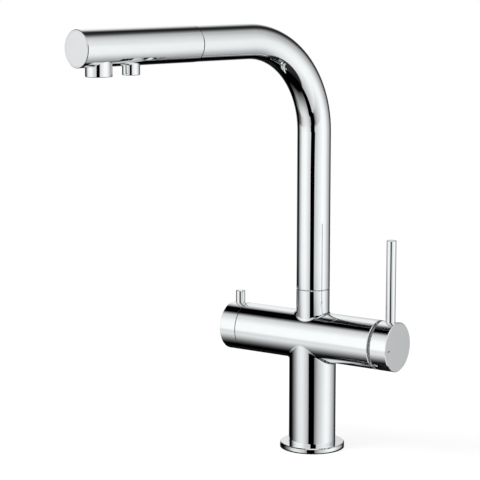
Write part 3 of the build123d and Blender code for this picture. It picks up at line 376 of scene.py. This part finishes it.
nylon = finish("nylon_sleeve", nylon_sleeve)
route = bpy.data.curves.new("pull_out_hose", "CURVE")
route.dimensions = "3D"
route.resolution_u = 24
run = route.splines.new("BEZIER")
run.bezier_points.add(3)
bend_start = arm_z - bend_r
corners = ((0, hose_bottom), (0, bend_start), (bend_r, arm_z), (hose_reach, arm_z))
handles = (
    ((0, hose_bottom - bottom_handle), (0, hose_bottom + riser_handle)),
    ((0, bend_start - riser_handle), (0, bend_start + quarter_handle)),
    ((bend_r - quarter_handle, arm_z), (bend_r + arm_handle, arm_z)),
    ((hose_reach - arm_handle, arm_z), (hose_reach + arm_handle, arm_z)),
)
for point, (reach, height), (before, after) in zip(run.bezier_points, corners, handles):
    point.handle_left_type = point.handle_right_type = "FREE"
    point.co = (along_x * reach, along_y * reach, height)
    point.handle_left = (along_x * before[0], along_y * before[0], before[1])
    point.handle_right = (along_x * after[0], along_y * after[0], after[1])
route_object = bpy.data.objects.new("hose_route", route)
bpy.context.collection.objects.link(route_object)


def sleeve_over_route(entry):
    """A round hose with closed ends along the route."""
    line = entry.node("GeometryNodeObjectInfo", inputs={"Object": route_object}, output="Geometry")
    line = entry.node("GeometryNodeResampleCurve", {"mode": "LENGTH"}, {
        "Curve": line, "Length": entry.out("Ring spacing")})
    round_edge = entry.node("GeometryNodeCurvePrimitiveCircle", inputs={
        "Resolution": entry.out("Sides"), "Radius": entry.out("Radius")})
    return entry.node("GeometryNodeCurveToMesh", inputs={
        "Curve": line, "Profile Curve": round_edge, "Fill Caps": True})


def blank(name):
    """An empty piece for a tree to fill."""
    piece = bpy.data.objects.new(name, bpy.data.meshes.new(name))
    bpy.context.collection.objects.link(piece)
    return piece


pull_out_hose = blank("pull_out_hose")
grow(pull_out_hose, nylon, {
    "Ring spacing": hose_ring_spacing, "Sides": hose_sides, "Radius": hose_r}, sleeve_over_route)
bpy.data.objects.remove(route_object)
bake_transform(pull_out_hose)
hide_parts("pull_hose")
coat(brass, "hose_coupling", "hose_ferrule")

# ------------------------------------------------------------------ pull-out head
# The head is a chromed brass sleeve over a moulded waterway. A flat cap closes its end, and two
# nozzle rings screw up into it: a wide one for tap water and a small one for filtered water.
coat(chrome, "head_shell", "main_nozzle", "filter_nozzle")
coat(brass, "head_spigot")
coat(rubber, "nozzle_seals")
coat(white_acetal, "aerator", "filter_jet")


def satin_chromium(place):
    """Chromium over brass that was faced on the lathe, so it is a little softer than the rest."""
    haze = grain(place, 150, detail=4)
    return {
        "Base Color": mixed(haze, (0.955, 0.975, 0.985), (0.975, 0.990, 1.0)),
        "Metallic": 1.0,
        "Roughness": haze.ease(0.3, 0.7, 0.12, 0.17),
    }


satin = finish("satin_chromium", satin_chromium)
coat(satin, "head_end_cap")
coat(grey_nylon, "head_waterway")

nozzle_reach = 0.2264
screen_z = 0.3243
screen_r = 0.0075
screen_pitch = 0.0011
screen_meshes = 14
screen_wire_r = 0.00014


def woven_screen(entry):
    """A square net of wires, cut round, for the aerator's mouth."""
    net = entry.node("GeometryNodeMeshGrid", inputs={
        "Size X": entry.out("Width"), "Size Y": entry.out("Width"),
        "Vertices X": entry.out("Wires"), "Vertices Y": entry.out("Wires")})
    spot = entry.node("GeometryNodeInputPosition")
    away = spot.node("ShaderNodeVectorMath", {"operation": "LENGTH"}, {0: spot}, output="Value")
    beyond = away.node("FunctionNodeCompare", {"operation": "GREATER_THAN"}, {
        "A": away, "B": entry.out("Radius")})
    net = entry.node("GeometryNodeDeleteGeometry", inputs={"Geometry": net, "Selection": beyond})
    wires = entry.node("GeometryNodeMeshToCurve", inputs={"Mesh": net})
    section = entry.node("GeometryNodeCurvePrimitiveCircle", inputs={
        "Resolution": 6, "Radius": entry.out("Wire radius")})
    wires = entry.node("GeometryNodeCurveToMesh", inputs={
        "Curve": wires, "Profile Curve": section, "Fill Caps": True})
    middle = (along_x * nozzle_reach, along_y * nozzle_reach, screen_z)
    return entry.node("GeometryNodeTransform", inputs={"Geometry": wires, "Translation": middle})


aerator_screen = blank("aerator_screen")
grow(aerator_screen, steel, {
    "Width": screen_meshes * screen_pitch, "Wires": screen_meshes + 1, "Radius": screen_r,
    "Wire radius": screen_wire_r}, woven_screen)
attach(aerator_screen, "head")

# ------------------------------------------------------------------ mixer cartridge
# One lever works two ceramic discs in a moulded housing that a brass ring nut holds down in the
# barrel. The domed ring in front of it is what shows dark between the barrel and the handle.
coat(grey_nylon, "cartridge_housing", "disc_carrier")
coat(rubber, "cartridge_seals")
coat(brass, "cartridge_nut")
coat(steel, "cartridge_clip", "tilt_pin", "mixer_stem", "mixer_set_screw")
coat(white_acetal, "disc_driver")


def grey_anodised(place):
    """Blasted and grey, so that the ring doesn't glare between two polished edges."""
    blast = grain(place, 1500, detail=3)
    return {
        "Base Color": mixed(blast, (0.43, 0.435, 0.44), (0.56, 0.565, 0.57)),
        "Roughness": blast.ease(0.3, 0.7, 0.42, 0.55),
        "Normal": bumps(blast, 0.00001),
    }


anodised = finish("grey_anodised", grey_anodised)
coat(anodised, "cover_ring")


def fired_alumina(place):
    """Lapped alumina: nearly white, dense and glassy, with a trace of grey from the lapping."""
    speck = grain(place, 900, detail=4)
    return {
        "Base Color": mixed(speck.ease(0.3, 0.8), (0.80, 0.80, 0.785), (0.70, 0.70, 0.69)),
        "Roughness": speck.ease(0.3, 0.7, 0.12, 0.24),
        "Coat Weight": 0.2,
    }


alumina = finish("fired_alumina", fired_alumina)
coat(alumina, "cartridge_fixed_disc", "cartridge_moving_disc")

# ------------------------------------------------------------------ mixer handle
# A turned drum hides the mechanism, and a slim pin screwed into its top is the lever. A short
# red dash let into the face, on the user's side, marks which way gives hot water.
coat(chrome, "mixer_drum", "mixer_lever")


def red_enamel(place):
    """Dark red enamel, baked and flush."""
    fleck = grain(place, 3000, detail=2)
    return {
        "Base Color": mixed(fleck, (0.20, 0.010, 0.014), (0.30, 0.02, 0.025)),
        "Roughness": fleck.ease(0.3, 0.7, 0.22, 0.34),
        "Coat Weight": 0.5,
    }


enamel = finish("red_enamel", red_enamel)
coat(enamel, "hot_mark")

# ------------------------------------------------------------------ filter valve and its handle
# A quarter-turn brass headwork with two small ceramic discs opens the filtered water. Its handle
# is a second turned drum with a short pin.
coat(brass, "valve_housing", "filter_spindle")
coat(rubber, "valve_seal", "valve_o_ring", "spindle_o_ring")
coat(alumina, "valve_fixed_disc", "valve_moving_disc")
coat(chrome, "filter_drum", "filter_lever")
coat(steel, "filter_set_screw")

# ------------------------------------------------------------------ studio
# The tap stands on a white table in a white tent. The camera looks in through a dark gap, and
# two black flags behind the tap draw the dark lines down the edges of the chrome.
scene = bpy.context.scene
scene.view_settings.view_transform = "Standard"

lens = bpy.data.cameras.new("camera")
lens.lens = 132.6
camera = bpy.data.objects.new("camera", lens)
camera_turn = radians(34.93)
camera.location = (0.7858, -1.2323, 0.4100)
camera.rotation_euler = (radians(80.95), 0, camera_turn)
bpy.context.collection.objects.link(camera)
scene.camera = camera

table_r = 6.0
table_t = 0.02
table_paint = (0.95, 0.95, 0.95, 1)
worktop_hole_r = 0.0177
table = lathe("table", [(worktop_hole_r, 0), (table_r, 0), (table_r, -table_t),
                        (worktop_hole_r, -table_t)], 96)


def white_table(name):
    """White to the camera, but still darkened by the tap's shadow."""
    material = bpy.data.materials.new(name)
    material.use_nodes = True
    material.node_tree.nodes.clear()
    start = Wire(material.node_tree)
    glow = start.node("ShaderNodeEmission", inputs={"Color": (1, 1, 1, 1), "Strength": 1.0})
    paint = start.node("ShaderNodeBsdfDiffuse", inputs={"Color": table_paint})
    seen = start.node("ShaderNodeLightPath", output="Is Camera Ray")
    seen = seen + seen.out("Is Glossy Ray") + seen.out("Is Transmission Ray")
    spot = start.node("ShaderNodeTexCoord", output="Object")
    away = spot.node("ShaderNodeVectorMath", {"operation": "LENGTH"}, {0: spot}, output="Value")
    share = seen * away.ease(0.25, 0.9, 0.8, 0.98)
    both = start.node("ShaderNodeMixShader", inputs={0: share, 1: paint, 2: glow})
    start.node("ShaderNodeOutputMaterial", inputs={"Surface": both})
    return material


table.data.materials.append(white_table("white_table"))
table.visible_glossy = False

# a dark ring under the table that only the chrome's reflections see: a painted dark reflection
# round the foot of the tap, which also keeps the chrome from mirroring the clamp through the table
painted_dark_ring_r = 0.031
painted_dark_ring_top, painted_dark_ring_bottom = -0.0002, -0.075
cupboard = lathe("cupboard", [
    (worktop_hole_r, painted_dark_ring_top), (painted_dark_ring_r, painted_dark_ring_top), (painted_dark_ring_r, painted_dark_ring_bottom),
    (worktop_hole_r, painted_dark_ring_bottom)], 64)
cupboard.data.materials.append(finish("dark", lambda place: {
    "Base Color": (0.02, 0.02, 0.02, 1), "Roughness": 0.9}))
cupboard.visible_camera = False
cupboard.visible_diffuse = False
cupboard.visible_shadow = False

key_light = bpy.data.lights.new("key_light", "AREA")
key_light.shape = "DISK"
key_light.size = 1.2
key_light.energy = 40
key = bpy.data.objects.new("key_light", key_light)
key.location = (-0.9, -1.1, 1.7)
key.rotation_euler = (radians(42), 0, radians(-39))
key.visible_glossy = False
bpy.context.collection.objects.link(key)

tent = bpy.data.worlds.new("tent")
scene.world = tent
tent.use_nodes = True
tent.node_tree.nodes.clear()
start = Wire(tent.node_tree)
way = start.node("ShaderNodeTexCoord", output="Generated")


def along(direction):
    """How far the way points along a direction, from -1 to 1."""
    return way.node("ShaderNodeVectorMath", {"operation": "DOT_PRODUCT"}, {
        0: way, 1: direction}, output="Value")


to_right = along((cos(camera_turn), sin(camera_turn), 0))
to_camera = along((sin(camera_turn), -cos(camera_turn), 0))
# degrees above the horizon, and degrees round from the camera's side, growing to the right
to_degrees = 180 / pi
height = start.math("ARCSINE", along((0, 0, 1))) * to_degrees
round_about = start.math("ARCTAN2", to_right, to_camera) * to_degrees


def ramp(value, stops):
    """Brightness by degrees round the tent, from one stop to the next."""
    places = [((angle + 180) / 360, (level, level, level)) for angle, level in stops]
    return value.node("ShaderNodeValToRGB", {"stops": places}, {"Fac": (value + 180) * (1 / 360)})


# round the tap: a white wall at each side, a white backdrop behind, and black flags between them
round_wall = ramp(round_about, (
    (-180, 0.85), (-172, 0.90), (-160, 0.45), (-147, 0.0), (-127, 0.0), (-114, 0.30),
    (-102, 0.70), (-86, 0.90), (-64, 1.0), (-50, 0.90), (-36, 0.70), (8, 0.60), (35, 0.85),
    (60, 1.0), (75, 0.95), (88, 0.85), (107, 0.55), (116, 0.50), (140, 0.05), (157, 0.0),
    (167, 0.15), (176, 0.65), (180, 0.85)))
# the dark gap that the camera looks in through, between hanging edges of the tent
hang = height.ease(-27, -22, -9, 0) + height.ease(-16, -11, 0, -4) + height.ease(-7, -2, 0, 14)
across = round_about - hang
gap = across.ease(-22, -20) * across.ease(6, 8, 1.0, 0.0)
# how the walls fall off upwards and downwards
left_wall = height.ease(-62, -20, 0.02, 0.84) + height.ease(-20, -5, 0.0, 0.16)
tilted = height - 0.35 * (round_about.math("MINIMUM", round_about, -85) + 90)
left_wall = left_wall * tilted.ease(15, 48, 1.0, 0.70) * tilted.ease(42, 60, 1.0, 0.0)
right_wall = height.ease(-55, -20, 0.82, 1.0) * height.ease(0, 25, 1.0, 0.88)
right_wall = right_wall * height.ease(45, 56, 1.0, 0.02)
backdrop = height.ease(-30, 8, 0.01, 1.0)
on_left = round_about.ease(-16, -4, 1.0, 0.0)
behind = round_about.math("ABSOLUTE", round_about).ease(143, 150)
wall = on_left * left_wall + (1 - on_left) * right_wall
fall = behind * backdrop + (1 - behind) * wall
# a dimmer strip low down, where the walls meet the table
strip = height.ease(-27, -21) * height.ease(-13, -9.5, 1.0, 0.0)
lost = ramp(round_about, (
    (-126, 0.9), (-110, 0.7), (-94, 0.5), (-78, 0.15), (-50, 0.0), (-34, 0.0), (-20, 0.5),
    (6, 0.7), (14, 0.5), (24, 0.3), (50, 0.15), (75, 0.0)))
wall_light = 1.06
sides = round_wall * (1 - gap) * fall * (1 - strip * lost) * wall_light
# a soft light overhead and a dark floor below
overhead_light = 0.95
floor_light = 0.03
overhead = height.ease(64, 76)
mirrored = (sides * (1 - overhead) + overhead * overhead_light) * height.ease(
    -60, -55, floor_light, 1.0)
# mirrors see the tent, everything else gets plain light, and the camera sees white
paths = start.node("ShaderNodeLightPath", output="Is Camera Ray")
gloss = paths.math("MINIMUM", paths.out("Is Glossy Ray") + paths.out("Is Transmission Ray"), 1.0)
plain_light = 0.85
strength = paths + (1 - paths) * (gloss * mirrored + (1 - gloss) * plain_light)
glow = start.node("ShaderNodeBackground", inputs={"Color": (1, 1, 1, 1), "Strength": strength})
start.node("ShaderNodeOutputWorld", inputs={"Surface": glow})
